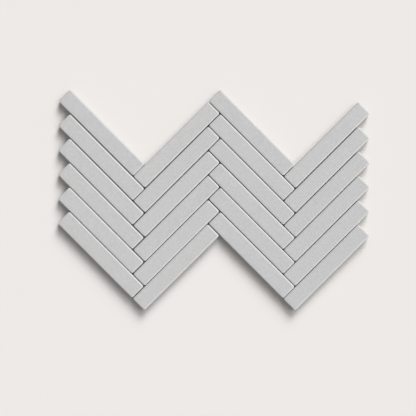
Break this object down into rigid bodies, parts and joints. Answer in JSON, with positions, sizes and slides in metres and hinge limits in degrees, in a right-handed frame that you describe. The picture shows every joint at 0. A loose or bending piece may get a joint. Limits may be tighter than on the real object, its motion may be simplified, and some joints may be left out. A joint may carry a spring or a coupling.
{
  "type": "herringbone mosaic tile",
  "caption": "Net-backed herringbone mosaic sheet of slim matt grey ceramic sticks at 45 degrees, with zigzag edges that interlock with the next sheet.",
  "frame": {"origin": "centre of the sheet's bounding box on the plane that the back of the net lies on", "axes": "+Z out of the face, +X across the columns of sticks, +Y up the columns"},
  "size_m": [0.2996, 0.212, 0.0086],
  "materials": {
    "stick_ceramic": "matte",
    "net_fibre": "matte"
  },
  "bodies": {
    "root": {"column_1_stick_1": "stick_ceramic", "column_1_stick_2": "stick_ceramic", "column_1_stick_3": "stick_ceramic", "column_1_stick_4": "stick_ceramic", "column_1_stick_5": "stick_ceramic", "column_1_stick_6": "stick_ceramic", "column_2_stick_1": "stick_ceramic", "column_2_stick_2": "stick_ceramic", "column_2_stick_3": "stick_ceramic", "column_2_stick_4": "stick_ceramic", "column_2_stick_5": "stick_ceramic", "column_2_stick_6": "stick_ceramic", "column_3_stick_1": "stick_ceramic", "column_3_stick_2": "stick_ceramic", "column_3_stick_3": "stick_ceramic", "column_3_stick_4": "stick_ceramic", "column_3_stick_5": "stick_ceramic", "column_3_stick_6": "stick_ceramic", "column_4_stick_1": "stick_ceramic", "column_4_stick_2": "stick_ceramic", "column_4_stick_3": "stick_ceramic", "column_4_stick_4": "stick_ceramic", "column_4_stick_5": "stick_ceramic", "column_4_stick_6": "stick_ceramic", "net_backing_1": "net_fibre", "net_backing_2": "net_fibre", "net_backing_3": "net_fibre", "net_backing_4": "net_fibre"}
  },
  "joints": []
}
